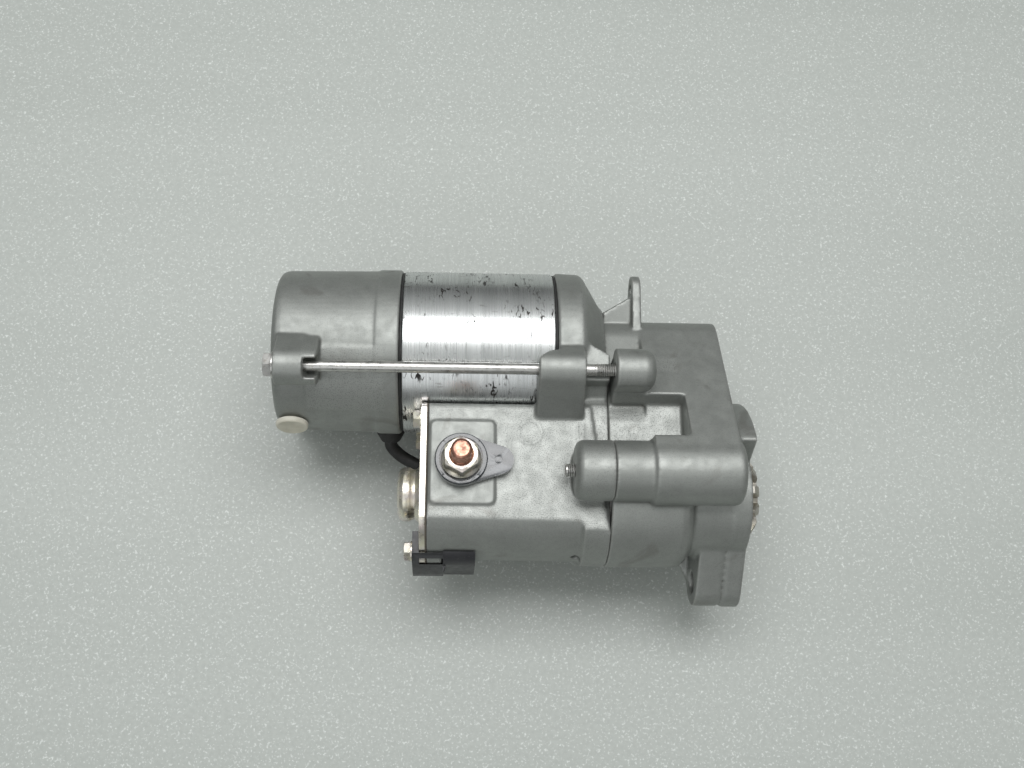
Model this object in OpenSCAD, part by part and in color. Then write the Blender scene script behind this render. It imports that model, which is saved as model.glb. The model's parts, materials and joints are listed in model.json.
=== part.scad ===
// Gear-reduction starter motor.
// The motor lies beside the magnetic switch. The switch, the overrunning clutch
// and the pinion share the X axis, and the motor's axis is parallel to it.
// Origin: on the pinion axis, in the plane of the nose casting's front lip. +X out of the nose,
// +Y towards the motor, +Z along the battery terminal.

/* [Layout] */
// Distance between the motor axis and the pinion axis
axis_gap = 70; // [70:70]
// Travel of the plunger and of the pinion
stroke = 12; // [8:0.5:12]

/* [Motor] */
// Outer diameter of the steel yoke
yoke_d = 78; // [76:0.5:80]
// Wall of the yoke
yoke_wall = 4; // [3:0.5:4.5]
// Rear end of the yoke
yoke_rear_x = -158; // [-160:0.5:-156]
// Front end of the yoke
yoke_front_x = -85.5; // [-86:0.5:-85]
// Rear end of the end frame
frame_rear_x = -216; // [-218:0.5:-216]
// Angle of each through bolt away from the line to the switch, about the motor axis
bolt_angle = 63; // [60:1:65]
// Radius of the through-bolt circle
bolt_circle_r = 44.5; // [44.5:0.5:46]
// Diameter of a through bolt's shank
bolt_d = 5.2; // [4.8:0.1:5.6]
// Commutator bars, armature slots and winding bars
armature_slots = 16; // [12:1:18]

/* [Gears] */
// Module of the reduction gears
gear_module = 1.75; // [1.75:1.75]
// Teeth on the armature shaft
armature_teeth = 12; // [12:12]
// Teeth on the idler
idler_teeth = 18; // [18:18]
// Teeth on the clutch's outer gear
clutch_teeth = 32; // [32:32]
// Module of the drive pinion
pinion_module = 3; // [2.5:0.25:3]
// Teeth on the drive pinion
pinion_teeth = 11; // [9:1:11]

/* [Switch] */
// Outer diameter of the switch barrel
barrel_d = 60; // [60:0.5:61]
// Height of the flat top of the switch housing
box_top_z = 26; // [26:0.5:27]
// Place of both copper studs along X
terminal_x = -129; // [-130:0.5:-128]
// Place of both copper studs across
terminal_y = 10; // [9:0.5:11]
// Diameter of the copper studs
stud_d = 9.6; // [9:0.2:10]

/* [Mounting] */
// Thickness of the mounting flange
flange_t = 8; // [7:0.5:9]
// Outer radius of the mounting flange
flange_r = 44.5; // [43:0.5:46]
// Diameter of the holes in the two mounting ears
mount_hole_d = 10.5; // [8.5:0.5:11]
// Angle of the ear beside the switch, from +Y towards +Z
ear_a_angle = 200; // [196:1:204]
// Distance of that ear's hole from the pinion axis
ear_a_r = 40.5; // [40:0.5:43]
// Angle of the lower ear
ear_b_angle = 306; // [305:1:308]
// Distance of that ear's hole from the pinion axis
ear_b_r = 56; // [55.5:0.5:57]

/* [Hidden] */
$fn = 96;

// Along X
parting_x = -62;              // face between switch housing and drive housing
cover_x = -144.2;             // rear face of the switch housing
cover_t = 2.6;                // cover plate
lead_r = 3.2;                 // motor lead
lug_t = 1.5;                  // its ring terminal
insulator_z = box_top_z + 1;  // seats of the insulators and of the nuts above them
nut_seat_z = insulator_z + 4.2;
gasket_t = 0.6;               // gasket under the cover plate
gear_rear_x = -61;            // reduction gears
gear_front_x = -49;
contact_x = -128.8;           // rear face of the fixed contacts
pinion_rear_x = -11.5;
mount_face_x = 2.5;           // face that meets the engine
pinion_w = 20;
grommet_x = -164;
core_x = -80;                 // rear face of the fixed core
end_gap = 0.2;                // left at the core and at the contacts when the plunger is in
disc_front_x = contact_x - end_gap - stroke;
plunger_front_x = core_x - end_gap - stroke;

// Radii
yoke_r = yoke_d / 2;
bore_r = yoke_r - yoke_wall;
barrel_r = barrel_d / 2;
barrel_bore_r = barrel_r - 6;
case_r = 33;                  // drive housing around the clutch
lobe_r = 16.5;                // drive housing around the armature gear
screw_boss_r = 13.5;
screw_boss_big_r = 15;
bolt_boss_r = 9.8;
shaft_r = 6;
spline_r = 9.4;               // pinion shaft over its splines

// Places across
bolt_y = axis_gap - bolt_circle_r * cos(bolt_angle);
bolt_z = bolt_circle_r * sin(bolt_angle);
screw_y = 4.5;
screw_z = 35.5;
armature_pitch_r = gear_module * armature_teeth / 2;
idler_pitch_r = gear_module * idler_teeth / 2;
idler_y = axis_gap - armature_pitch_r - idler_pitch_r;
box_y1 = 38;                  // flat top of the switch housing, motor side
cover_bolt_places = [[31, 20.5], [31, -20.5], [-27, 3]];
lead_angle = atan2(-0.6, -0.8);   // direction of the grommet from the motor axis

castings = [0.62, 0.64, 0.65];
steel = [0.75, 0.75, 0.77];
zinc = [0.86, 0.85, 0.80];
copper = [0.72, 0.42, 0.30];
black = [0.08, 0.08, 0.09];

/* Helpers */

// Prism along X: the children are drawn with X as the part's Y and Y as its Z
module prism_x(x0, x1) {
    translate([x0, 0, 0]) rotate([90, 0, 90]) linear_extrude(x1 - x0) children();
}

// Turned solid about an axis parallel to X; points are [x, radius]
module turned(points, y = 0, z = 0) {
    translate([0, y, z]) rotate([0, 90, 0])
        rotate_extrude() polygon([for (p = points) [p[1], p[0]]]);
}

// Rod along X
module rod_x(x0, x1, r, y = 0, z = 0) {
    translate([x0, y, z]) rotate([0, 90, 0]) cylinder(h = x1 - x0, r = r);
}

// Tube along X
module tube_x(x0, x1, r_out, r_in, y = 0, z = 0) {
    turned([[x0, r_in], [x1, r_in], [x1, r_out], [x0, r_out]], y, z);
}

// Tube along X with both outer edges broken
module race_x(x0, x1, r_out, r_in, y = 0, z = 0, c = 0.4) {
    turned([[x0, r_in], [x1, r_in], [x1, r_out - c], [x1 - c, r_out],
        [x0 + c, r_out], [x0, r_out - c]], y, z);
}

// Hexagonal prism along X, across flats af
module hex_x(x0, x1, af, y = 0, z = 0) {
    translate([x0, y, z]) rotate([0, 90, 0]) cylinder(h = x1 - x0, r = af / sqrt(3), $fn = 6);
}

// Outline around two circles and the straight sides between them
module pill(a, ra, b, rb) {
    inset = 0.02;
    d = norm(b - a);
    heading = atan2(b[1] - a[1], b[0] - a[0]);
    lean = acos((ra - rb) / d);
    translate(a) circle(ra);
    translate(b) circle(rb);
    polygon([
        for (s = [1, -1]) a + (ra - inset) * [cos(heading + s * lean), sin(heading + s * lean)],
        for (s = [-1, 1]) b + (rb - inset) * [cos(heading + s * lean), sin(heading + s * lean)]
    ]);
}

// Rectangle with round corners, from the origin
module rounded_box(w, d, r) {
    polygon([for (q = [0:3], a = [0:15:90])
        [(q == 0 || q == 3 ? w - r : r) + r * cos(90 * q + a), (q < 2 ? d - r : r) + r * sin(90 * q + a)]]);
}

// Part of a ring between two radii, from angle a0 to a1 (under 180 degrees)
module ring_sector(r_out, r_in, a0, a1) {
    reach = 1.6 * r_out;
    mid = (a0 + a1) / 2;
    intersection() {
        difference() {
            circle(r_out);
            circle(r_in);
        }
        polygon([[0, 0], for (a = [a0, (a0 + mid) / 2, mid, (mid + a1) / 2, a1]) reach * [cos(a), sin(a)]]);
    }
}

// Spur gear outline, straight-flanked teeth with room for backlash
module gear_outline(m, teeth, turn = 0, slim = 0.12, tip_share = 0.36) {
    r = m * teeth / 2;
    tip = r + m;
    root = r - 1.2 * m;
    step = 360 / teeth;
    flank = step / 4 - slim * 180 / (PI * r) / 2;
    top = flank * tip_share;
    foot = min(flank * 1.45, step * 0.46);
    polygon([for (i = [0:teeth - 1], p = [[root, -foot], [r, -flank], [tip, -top], [tip, top],
        [r, flank], [root, foot]]) p[0] * [cos(turn + i * step + p[1]), sin(turn + i * step + p[1])]]);
}

// Coil spring about an axis parallel to X
module coil_x(x0, x1, r, wire_r, turns, y = 0, z = 0, sides = 6, steps = 14) {
    n = turns * steps;
    function at(i) = let(a = 360 * i / steps)
        [x0 + wire_r + (x1 - x0 - 2 * wire_r) * i / n, y + r * cos(a), z + r * sin(a)];
    points = [for (i = [0:n], k = [0:sides - 1])
        let(a = 360 * i / steps, w = 360 * k / sides, u = [0, cos(a), sin(a)])
        at(i) + wire_r * (cos(w) * u + sin(w) * [1, 0, 0])];
    faces = [
        [for (k = [0:sides - 1]) k],
        [for (k = [sides - 1:-1:0]) n * sides + k],
        for (i = [0:n - 1], k = [0:sides - 1]) let(k1 = (k + 1) % sides)
            [i * sides + k, (i + 1) * sides + k, (i + 1) * sides + k1, i * sides + k1]
    ];
    polyhedron(points, faces, convexity = 6);
}

// From the motor axis towards the grommet, along the children's Z
module towards_lead() {
    translate([grommet_x, axis_gap, 0]) rotate([lead_angle, 0, 0]) rotate([-90, 0, 0]) children();
}

// Both through-bolt places, upper and lower
module both_bolts() {
    for (s = [1, -1]) translate([0, bolt_y, s * bolt_z]) children();
}

// Both housing-screw places
module both_screws() {
    for (s = [1, -1]) translate([0, screw_y, s * screw_z]) children();
}

// Outline of the gear case at a given wall outside its cavity
module case_outline(wall) {
    pill([axis_gap, 0], lobe_r - 3 + wall, [0, 0], case_r - 3 + wall);
}

// Outline of the flat-topped switch box with the round barrel
module switch_outline() {
    intersection() {
        circle(barrel_r);
        translate([-50, -box_top_z]) square([100, 2 * box_top_z]);
    }
    translate([0, -box_top_z]) rounded_box(box_y1, 2 * box_top_z, 3);
}

// One mounting ear, as an outline
module ear_outline(angle, hole_at, tip_r, root_r) {
    rotate(angle) pill([12, 0], root_r, [hole_at, 0], tip_r);
}

/* Housings */

// Nose casting: gear case, screw bosses, bracket lug, flange and two ears
module drive_housing() {
    panel_x = -44.5;
    neck_x = -24;
    face_x = -6.5;
    recess_x = -28;
    recess_z = 26.6;
    groove_x = mount_face_x - flange_t;
    neck_r = 28;
    lug_heading = atan2(0.292, 0.956);
    color(castings) difference() {
        union() {
            // Gear case and clutch barrel with a rounded front edge
            prism_x(parting_x, panel_x + 2) case_outline(2.8);
            turned([[parting_x, 0], [parting_x, case_r], [neck_x - 6, case_r],
                [neck_x - 3, case_r - 0.8], [neck_x - 0.8, case_r - 3], [neck_x, case_r - 6], [neck_x, 0]]);
            rod_x(neck_x - 1, groove_x + 1, neck_r - 0.3);
            // Smooth panel that carries both screw bosses
            prism_x(panel_x, face_x) for (s = [1, -1])
                pill([axis_gap, 0], lobe_r, [screw_y, s * screw_z], screw_boss_big_r - 0.2);
            // Screw bosses
            both_screws() {
                rod_x(parting_x, panel_x, screw_boss_r);
                turned([[panel_x - 0.1, 0], [panel_x - 0.1, screw_boss_big_r - 0.6],
                    [panel_x + 0.6, screw_boss_big_r], [face_x - 0.6, screw_boss_big_r],
                    [face_x + 1, screw_boss_big_r - 0.8], [face_x + 1.9, screw_boss_big_r - 2],
                    [face_x + 1.9, 0]]);
            }
            // Through-bolt bosses with domed ends and the walls under them
            both_bolts() turned([[parting_x + 1.5, 0], [parting_x + 1.5, bolt_boss_r],
                [-47, bolt_boss_r], [-44.4, bolt_boss_r - 1], [-42.8, bolt_boss_r - 3.2],
                [-42, bolt_boss_r - 6.5], [-42, 0]]);
            for (s = [1, -1]) prism_x(parting_x + 1.5, -28.5)
                polygon([[38, 0], [58, 0], [58, s * 24], [38, s * 34]]);
            prism_x(parting_x + 1.5, -47) for (s = [1, -1])
                polygon([[41.5, 0], [58, 0], [58, s * bolt_z], [41.5, s * bolt_z]]);
            // Bracket lug with its gusset
            translate([0, axis_gap, 0]) rotate([lug_heading, 0, 0]) {
                prism_x(-47.4, -43) difference() {
                    pill([6, 0], 12, [32, 0], 7);
                    translate([32, 0]) circle(2.6);
                }
                translate([0, 0, -3]) linear_extrude(9)
                    polygon([[parting_x + 0.6, 20.5], [-47, 29], [-44, 29], [-44, 8], [parting_x + 0.6, 8]]);
            }
            // Flange: an arc on the motor side, open above and beside the switch
            prism_x(mount_face_x - flange_t, mount_face_x) {
                ring_sector(flange_r, 20, -73, 66);
                difference() {
                    circle(neck_r);
                    circle(20);
                }
                ear_outline(ear_a_angle, ear_a_r, 11.5, 20);
                ear_outline(ear_b_angle, ear_b_r, 12, 17);
            }
            // Thick roots of the ears, with a groove behind the flange
            prism_x(-19, groove_x - 1.8) ear_outline(ear_a_angle, ear_a_r, 11.1, 19.6);
            prism_x(groove_x - 2, groove_x + 0.8) ear_outline(ear_a_angle, ear_a_r, 10.3, 17.6);
            // Web from the clutch barrel to the ear beside the switch, clear of its hole
            rotate([ear_a_angle, 0, 0]) translate([0, 0, 6.4]) linear_extrude(3.4)
                polygon([[-27, 27], [-26, 32.4], [-24, 32.8], [-18.4, 44.5], [-12, 44.5], [-12, 27]]);
            prism_x(-18, groove_x + 0.8) ear_outline(ear_b_angle, ear_b_r, 11.6, 16.6);
        }
        // Gear cavity
        rod_x(parting_x - 1, gear_front_x + 2, 30.25);
        rod_x(parting_x - 1, gear_front_x + 2, idler_pitch_r + gear_module + 0.8, idler_y);
        rod_x(parting_x - 1, gear_front_x + 2, armature_pitch_r + gear_module + 1.4, axis_gap);
        // Clutch drum, bearing seat, seal seat and the open pinion bay
        rod_x(gear_front_x, -29, 26);
        rod_x(-30, -18, 22);
        rod_x(-19, -15, 17);
        rod_x(-15.6, mount_face_x + 1, 21);
        // Armature gear end
        rod_x(gear_front_x + 1, gear_front_x + 4, 8, axis_gap);
        // Idler pin hole, blind
        rod_x(gear_front_x + 1, -42, 5, idler_y);
        // Screw holes from the motor side and bolt holes, blind
        both_screws() rod_x(parting_x - 1, -30, 2.9);
        both_bolts() rod_x(parting_x - 1, -50, 2.9);
        // Mounting holes
        for (e = [[ear_a_angle, ear_a_r], [ear_b_angle, ear_b_r]])
            rod_x(-30, mount_face_x + 1, mount_hole_d / 2, e[1] * cos(e[0]), e[1] * sin(e[0]));
        // Room behind the lower ear for the head of its bolt
        rod_x(-46, -18, 10.5, ear_b_r * cos(ear_b_angle), ear_b_r * sin(ear_b_angle));
        // Pockets between bolt boss and screw boss, above and below
        prism_x(parting_x - 1, recess_x) for (s = [1, -1])
            polygon([[19, s * recess_z], [37.6, s * recess_z], [41, s * 33.4], [41, s * 57], [19, s * 57]]);
    }
}

// Casting: motor front cover and switch body in one
module switch_housing() {
    ear_x0 = -95;
    ear_x1 = -74;
    pad_t = 1;
    color(castings) difference() {
        union() {
            // Barrel and terminal box, cut flat above and below
            difference() {
                union() {
                    turned([[cover_x, 0], [cover_x, barrel_r], [-76, barrel_r + 0.6],
                        [-70, case_r - 0.6], [parting_x, case_r], [parting_x, 0]]);
                    prism_x(cover_x, parting_x) translate([0, -box_top_z])
                        rounded_box(box_y1, 2 * box_top_z, 3);
                    prism_x(-74, parting_x) case_outline(2.7);
                }
                rod_x(cover_x - 1, -84, yoke_r + 1, axis_gap);
                // The flats end in a low step on a slanting line
                for (s = [0, 1]) mirror([0, 0, s]) {
                    translate([0, 0, box_top_z]) linear_extrude(20)
                        polygon([[cover_x - 1, -40], [-61, -40], [-61, 60], [cover_x - 1, 60]]);
                    translate([0, 0, box_top_z - 1]) linear_extrude(20)
                        polygon([[-60.5, -40], [-73.5, 60], [-50, 60], [-50, -40]]);
                }
            }
            // Motor front cover: flange, cone and neck
            turned([[-90, 0], [-90, bore_r - 0.1], [yoke_front_x, bore_r - 0.1], [yoke_front_x, yoke_r - 0.4],
                [yoke_front_x + 1.2, yoke_r + 0.4], [-74, yoke_r], [-72, yoke_r - 1.4], [-64, 24.5],
                [-62.6, 22.8], [parting_x, 22.8], [parting_x, 0]], axis_gap);
            // Ribs from the through-bolt ears down to the box
            for (s = [1, -1]) {
                difference() {
                    prism_x(ear_x0, ear_x1) difference() {
                        pill([bolt_y, s * bolt_z], 8.8, [34, s * 21], 6);
                        translate([axis_gap, 0]) circle(yoke_r + 0.6);
                    }
                    // Corner towards the yoke cut on a slant
                    translate([0, 0, s * 40]) linear_extrude(40, center = true)
                        polygon([[ear_x0 - 1, bolt_y + 2.2], [ear_x0 + 9.6, bolt_y + 12],
                            [ear_x0 - 1, bolt_y + 12]]);
                }
                prism_x(yoke_front_x, ear_x1) pill([bolt_y, s * bolt_z], 8.8, [axis_gap - 12, s * 26], 10);
                // Sloping web towards the bolt boss of the nose
                prism_x(ear_x1 - 1, parting_x) pill([bolt_y + 2, s * (bolt_z - 14)], 6, [44, s * 18], 6);
                translate([0, 0, s * (bolt_z - 9.6)]) linear_extrude(12, center = true)
                    polygon([[ear_x1 - 0.5, bolt_y - 4], [ear_x1 - 0.5, bolt_y + 16],
                        [parting_x, bolt_y + 8.7], [parting_x, bolt_y - 4]]);
            }
            // Screw bosses with rounded rear ends
            both_screws() turned([[-79, 0], [-79, screw_boss_r - 3.5], [-78, screw_boss_r - 1.2],
                [-76, screw_boss_r], [parting_x, screw_boss_r], [parting_x, 0]]);
            for (s = [1, -1]) prism_x(-76, parting_x)
                polygon([[-6, 0], [15, 0], [15, s * screw_z], [-6, s * screw_z]]);
            // Raised pads under the two studs
            for (s = [0, 1]) mirror([0, 0, s]) translate([cover_x + 1.5, -9, box_top_z - 1])
                linear_extrude(1 + pad_t) rounded_box(28.5, 37.7, 2);
            // Plain ring mark and small frame mark, cast on
            translate([-97.9, 24, box_top_z - 0.5]) difference() {
                cylinder(h = 0.9, r = 5.5);
                translate([0, 0, -1]) cylinder(h = 3, r = 5.05);
            }
            translate([-76.5, 20, box_top_z - 0.5]) difference() {
                cube([3, 8.5, 0.9]);
                translate([0.45, 0.45, -1]) cube([2.1, 7.6, 3]);
            }
            // Screw bosses for the third cover bolt
            rod_x(cover_x, -137, 5.6, cover_bolt_places[2][0], cover_bolt_places[2][1]);
        }
        // Barrel bore for the coil
        rod_x(cover_x - 1, -72, barrel_bore_r);
        // Rod passage and seat of the clutch's rear bearing
        rod_x(-73, -60, 9);
        rod_x(-70, -60, 24);
        // Motor front bearing and shaft
        rod_x(-91, -74, 14, axis_gap);
        turned([[-91, 0], [-91, bore_r - 3.5], [-86, bore_r - 3.5], [-82, 20], [-82, 0]], axis_gap);
        rod_x(-75, -60, 8.5, axis_gap);
        rod_x(-63.5, -60, 14, axis_gap);
        // Idler pin hole, blind
        rod_x(-67, -60, 5, idler_y);
        // Through bolts, housing screws, cover bolts
        both_bolts() rod_x(-100, -60, bolt_d / 2 + 0.15);
        both_screws() rod_x(-82, -60, 3);
        for (p = cover_bolt_places) rod_x(cover_x - 1, -134, 2.5, p[0], p[1]);
        // Studs pass through the box
        for (s = [1, -1]) translate([terminal_x, terminal_y, s * (box_top_z + 10) - (s > 0 ? 20 : 0)])
            cylinder(h = 20, r = stud_d / 2 + 1.5);
        // Drain notch on the lower side
        translate([-76, -29, 6]) rotate([90, 0, 0]) cylinder(h = 12, r = 2.2, center = true);
    }
}

// Turned steel tube of the motor
module yoke() {
    color([0.85, 0.86, 0.88])
        race_x(yoke_rear_x + 1.4, yoke_front_x - 1.4, yoke_r, bore_r, axis_gap, 0, 0.5);
}

// O-rings at both ends of the yoke, squeezed flat
module yoke_seals() {
    color(black) for (x = [yoke_rear_x, yoke_front_x - 1.4])
        race_x(x, x + 1.4, yoke_r - 0.6, bore_r + 0.6, axis_gap, 0, 0.3);
}

// Cast rear frame of the motor with two bolt ears
module end_frame() {
    ear_x0 = -212.4;
    ear_x1 = -199.3;
    prong_x = -193.4;
    color(castings) difference() {
        union() {
            turned([[frame_rear_x, 0], [frame_rear_x, 33.5], [frame_rear_x + 0.5, 35.8],
                [frame_rear_x + 2, 37.6], [frame_rear_x + 4.5, 38.2], [-169, yoke_r - 0.1],
                [-168.6, yoke_r + 0.5], [yoke_rear_x - 0.6, yoke_r + 0.6], [yoke_rear_x, yoke_r],
                [yoke_rear_x, bore_r - 0.1], [yoke_rear_x + 4, bore_r - 0.1],
                [yoke_rear_x + 4, 0]], axis_gap);
            // Slightly raised rough field towards the bolts
            for (s = [1, -1]) intersection() {
                turned([[-200, 0], [-200, yoke_r - 0.1], [-167, yoke_r + 0.25], [-167, 0]], axis_gap);
                prism_x(-201, -168) translate([axis_gap, 0]) ring_sector(60, 0, s * 105, s * 152);
            }
            both_bolts_ears(ear_x0, ear_x1);
            // Prongs that guide the bolt
            for (s = [1, -1]) intersection() {
                prism_x(ear_x1 - 0.5, prong_x) difference() {
                    pill([bolt_y, s * bolt_z], 8.6, [bolt_y + 8.5, s * (bolt_z - 7.6)], 8.6);
                    translate([bolt_y, s * bolt_z]) circle(4.4);
                    translate([axis_gap, 0]) rotate(180 - s * bolt_angle) translate([bolt_circle_r, -4.4])
                        square([20, 8.8]);
                }
                rod_x(ear_x1 - 1, prong_x, 52, axis_gap);
            }
        }
        // Hollow with a bearing pocket in its floor
        turned([[-211.5, 0], [-211.5, 35], [-206, 35.4], [-160, 35.4], [-160, bore_r - 3.5],
            [yoke_rear_x + 5, bore_r - 3.5], [yoke_rear_x + 5, 0]], axis_gap);
        both_bolts() rod_x(ear_x0 - 1, prong_x + 1, bolt_d / 2 + 0.15);
        // Grommet hole
        towards_lead() translate([0, 0, 28]) cylinder(h = 32, r = 5);
        // Vent plug hole
        translate([-208, axis_gap, 0]) rotate([180 - 10.5, 0, 0]) rotate([-90, 0, 0])
            translate([0, 0, 30]) cylinder(h = 30, r = 5);
    }
    // Bearing cup on the floor, kept out of the hollow's cut
    color(castings) tube_x(-211.6, -203, 14, 11, axis_gap);
}

// Ears of the end frame
module both_bolts_ears(x0, x1) {
    for (s = [1, -1]) {
        prism_x(x0, x1) difference() {
            pill([bolt_y, s * bolt_z], 8.8, [bolt_y + 8.5, s * (bolt_z - 7.6)], 9.2);
            translate([axis_gap, 0]) circle(36);
        }
    }
}

// Pale plug in the side of the end frame
module vent_plug() {
    color([0.80, 0.77, 0.66]) translate([-208, axis_gap, 0]) rotate([180 - 10.5, 0, 0]) rotate([-90, 0, 0]) {
        translate([0, 0, 35.8]) cylinder(h = 3, r = 5);
        translate([0, 0, 38.6]) cylinder(h = 1.6, r = 7.5);
        translate([0, 0, 40.2]) cylinder(h = 0.9, r1 = 7.5, r2 = 6.6);
    }
}

/* Fasteners */

// Two long bolts beside the yoke
module through_bolts() {
    color(steel) both_bolts() {
        difference() {
            hex_x(-217.2, -213.4, 10);
            tube_x(-219, -217, 9, 4.6);
        }
        rod_x(-213.4, -212.4, 6.2);
        rod_x(-212.4, -69.5, bolt_d / 2);
        turned([[-69.5, 0], [-69.5, 2.8], [-52.5, 2.8], [-51.7, 2.1], [-51.7, 0]]);
    }
}

// Two screws that hold the housings together; their tips stand out at the rear
module housing_screws() {
    color(steel) both_screws() turned([[-83.4, 0], [-83.4, 2.4], [-82.9, 2.95], [-62, 2.95],
        [-62, 2.85], [-33, 2.85], [-32, 2.1], [-32, 0]]);
}

/* Motor */

// Four pole pieces
module pole_shoes() {
    color([0.45, 0.45, 0.48]) prism_x(-150, -94) translate([axis_gap, 0]) for (i = [0:3]) {
        ring_sector(bore_r, 30, 45 + i * 90 - 20, 45 + i * 90 + 20);
        ring_sector(30.2, 28.4, 45 + i * 90 - 33, 45 + i * 90 + 33);
    }
}

// Four coils, each round its own pole
module field_coils() {
    color([0.62, 0.28, 0.18]) for (i = [0:3]) difference() {
        prism_x(-153.6, -92) translate([axis_gap, 0])
            ring_sector(bore_r - 0.3, 30.6, 45 + i * 90 - 38, 45 + i * 90 + 38);
        prism_x(-151, -93) translate([axis_gap, 0])
            ring_sector(bore_r + 1, 29, 45 + i * 90 - 21.5, 45 + i * 90 + 21.5);
    }
}

// Insulated plate with four brush boxes
module brush_holder() {
    color([0.25, 0.16, 0.10]) difference() {
        union() {
            tube_x(-166, -164, 33.8, 17.5, axis_gap);
            for (i = [0:3]) translate([0, axis_gap, 0]) rotate([45 + i * 90, 0, 0])
                translate([-178, 17.6, -6]) cube([13, 14, 12]);
        }
        for (i = [0:3]) translate([0, axis_gap, 0]) rotate([45 + i * 90, 0, 0])
            translate([-176.4, 10, -4.6]) cube([10, 26, 9.2]);
        // Notch for the lead
        towards_lead() translate([0, 0, 32]) cylinder(h = 10, r = 4.5);
    }
}

// Four carbon brushes on the commutator
module brushes() {
    color([0.20, 0.20, 0.22]) for (i = [0:3]) translate([0, axis_gap, 0]) rotate([45 + i * 90, 0, 0])
        difference() {
            translate([-176.2, 12, -4.4]) cube([9.6, 15, 8.8]);
            rod_x(-180, -160, 15.1);
        }
}

// Leaf springs that press the brushes in
module brush_springs() {
    color(steel) for (i = [0:3]) translate([0, axis_gap, 0]) rotate([45 + i * 90, 0, 0]) {
        translate([-174, 27.1, -1.6]) cube([5.2, 1.2, 3.2]);
        translate([-174, 28.3, -0.7]) cube([5.2, 2.6, 1.4]);
    }
}

// Armature shaft with its own gear at the front
module armature_shaft() {
    color(steel) {
        turned([[-210.5, 0], [-210.5, 3.6], [-210, 4], [-203, 4], [-203, 5], [-198, 5], [-198, shaft_r],
            [-66, shaft_r], [-66, 7.2], [gear_front_x + 1.6, 7.2], [gear_front_x + 2, 6.8],
            [gear_front_x + 2, 0]], axis_gap);
        prism_x(gear_rear_x - 0.5, gear_front_x + 0.5) translate([axis_gap, 0])
            gear_outline(gear_module, armature_teeth, 180);
    }
}

// Laminated core with slots
module armature_core() {
    color([0.40, 0.40, 0.43]) prism_x(-150, -94) translate([axis_gap, 0]) difference() {
        circle(27.6);
        circle(shaft_r);
        for (i = [0:armature_slots - 1]) rotate(i * 360 / armature_slots)
            translate([16.5, -1.7]) square([12, 3.4]);
    }
}

// Bars in the slots and the coil heads at both ends
module armature_windings() {
    color(copper) {
        prism_x(-152, -92) translate([axis_gap, 0]) for (i = [0:armature_slots - 1])
            rotate(i * 360 / armature_slots) translate([17, -1.5]) square([9.8, 3]);
        turned([[-161, 15.5], [-150.2, 15.5], [-150.2, 26.4], [-153, 26.4], [-158, 23.5], [-161, 19]],
            axis_gap);
        turned([[-93.8, 12], [-90, 12], [-88.5, 16], [-88.8, 23], [-90, 25.8], [-93.8, 26.4]], axis_gap);
    }
}

// Copper bars on the shaft
module commutator() {
    color([0.78, 0.50, 0.34]) difference() {
        turned([[-184, shaft_r], [-161.2, shaft_r], [-161.2, 19], [-163, 19], [-163, 15], [-183, 15],
            [-184, 14]], axis_gap);
        for (i = [0:armature_slots - 1]) translate([0, axis_gap, 0]) rotate([i * 360 / armature_slots, 0, 0])
            translate([-190, 13.6, -0.35]) cube([40, 6, 0.7]);
    }
}

// Ball bearing shell: outer ring, inner ring and balls touching neither
module ball_bearing(x0, x1, r_out, r_in, y, balls) {
    mid = (r_out + r_in) / 2;
    ball_r = (r_out - r_in) * 0.27;
    centre_x = (x0 + x1) / 2;
    wall = (r_out - r_in) * 0.2;
    race_x(x0, x1, r_out, r_out - wall, y);
    tube_x(x0 + 0.4, x0 + 0.9, r_out - wall + 0.1, r_in + wall + 0.5, y);
    for (i = [0:balls - 1])
        translate([centre_x, y + mid * cos(i * 360 / balls), mid * sin(i * 360 / balls)])
            sphere(ball_r, $fn = 24);
}

// Bearing at the commutator end, outer part
module rear_bearing() {
    color(steel) ball_bearing(-211, -204, 11, 4.05, axis_gap, 7);
}

// Bearing in the motor's front cover, outer part
module front_bearing() {
    color(steel) ball_bearing(-82, -74.1, 14, 6.06, axis_gap, 8);
}

// Inner ring of a bearing with the same sizes as ball_bearing()
module inner_ring(x0, x1, r_out, r_in, y = 0) {
    tube_x(x0, x1, r_in + (r_out - r_in) * 0.2, r_in, y);
}

// Inner rings on the armature shaft
module armature_bearing_rings() {
    color(steel) {
        inner_ring(-210.4, -204, 11, 4.05, axis_gap);
        inner_ring(-82, -74.1, 14, 6.06, axis_gap);
    }
}

// Inner ring on the clutch drum
module drum_bearing_ring() {
    color(steel) inner_ring(-69.3, -62.2, 24, 15.06);
}

// Inner ring on the clutch sleeve
module sleeve_bearing_ring() {
    color(steel) inner_ring(-28.5, -19.2, 22, 13.06);
}

// Felt washer behind the commutator
module felt_washer() {
    color([0.80, 0.74, 0.60]) tube_x(-202.8, -199.5, 10, 5.06, axis_gap);
}

/* Reduction gears and clutch */

// Fixed pin of the idler
module idler_pin() {
    color(steel) turned([[-67, 0], [-67, 4.6], [-66.6, 5], [-42.4, 5], [-42, 4.6], [-42, 0]], idler_y);
}

// Idler gear
module idler_gear() {
    color(steel) difference() {
        prism_x(gear_rear_x, gear_front_x) translate([idler_y, 0])
            gear_outline(gear_module, idler_teeth, 180 / idler_teeth);
        rod_x(gear_rear_x - 1, gear_front_x + 1, 7.55, idler_y);
    }
}

// Needle rollers between idler and pin
module idler_rollers() {
    rollers = 12;
    color([0.85, 0.85, 0.87]) for (i = [0:rollers - 1])
        rod_x(gear_rear_x + 0.6, gear_front_x - 0.6, 1.23,
            idler_y + 6.29 * cos(i * 360 / rollers), 6.29 * sin(i * 360 / rollers));
}

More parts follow.
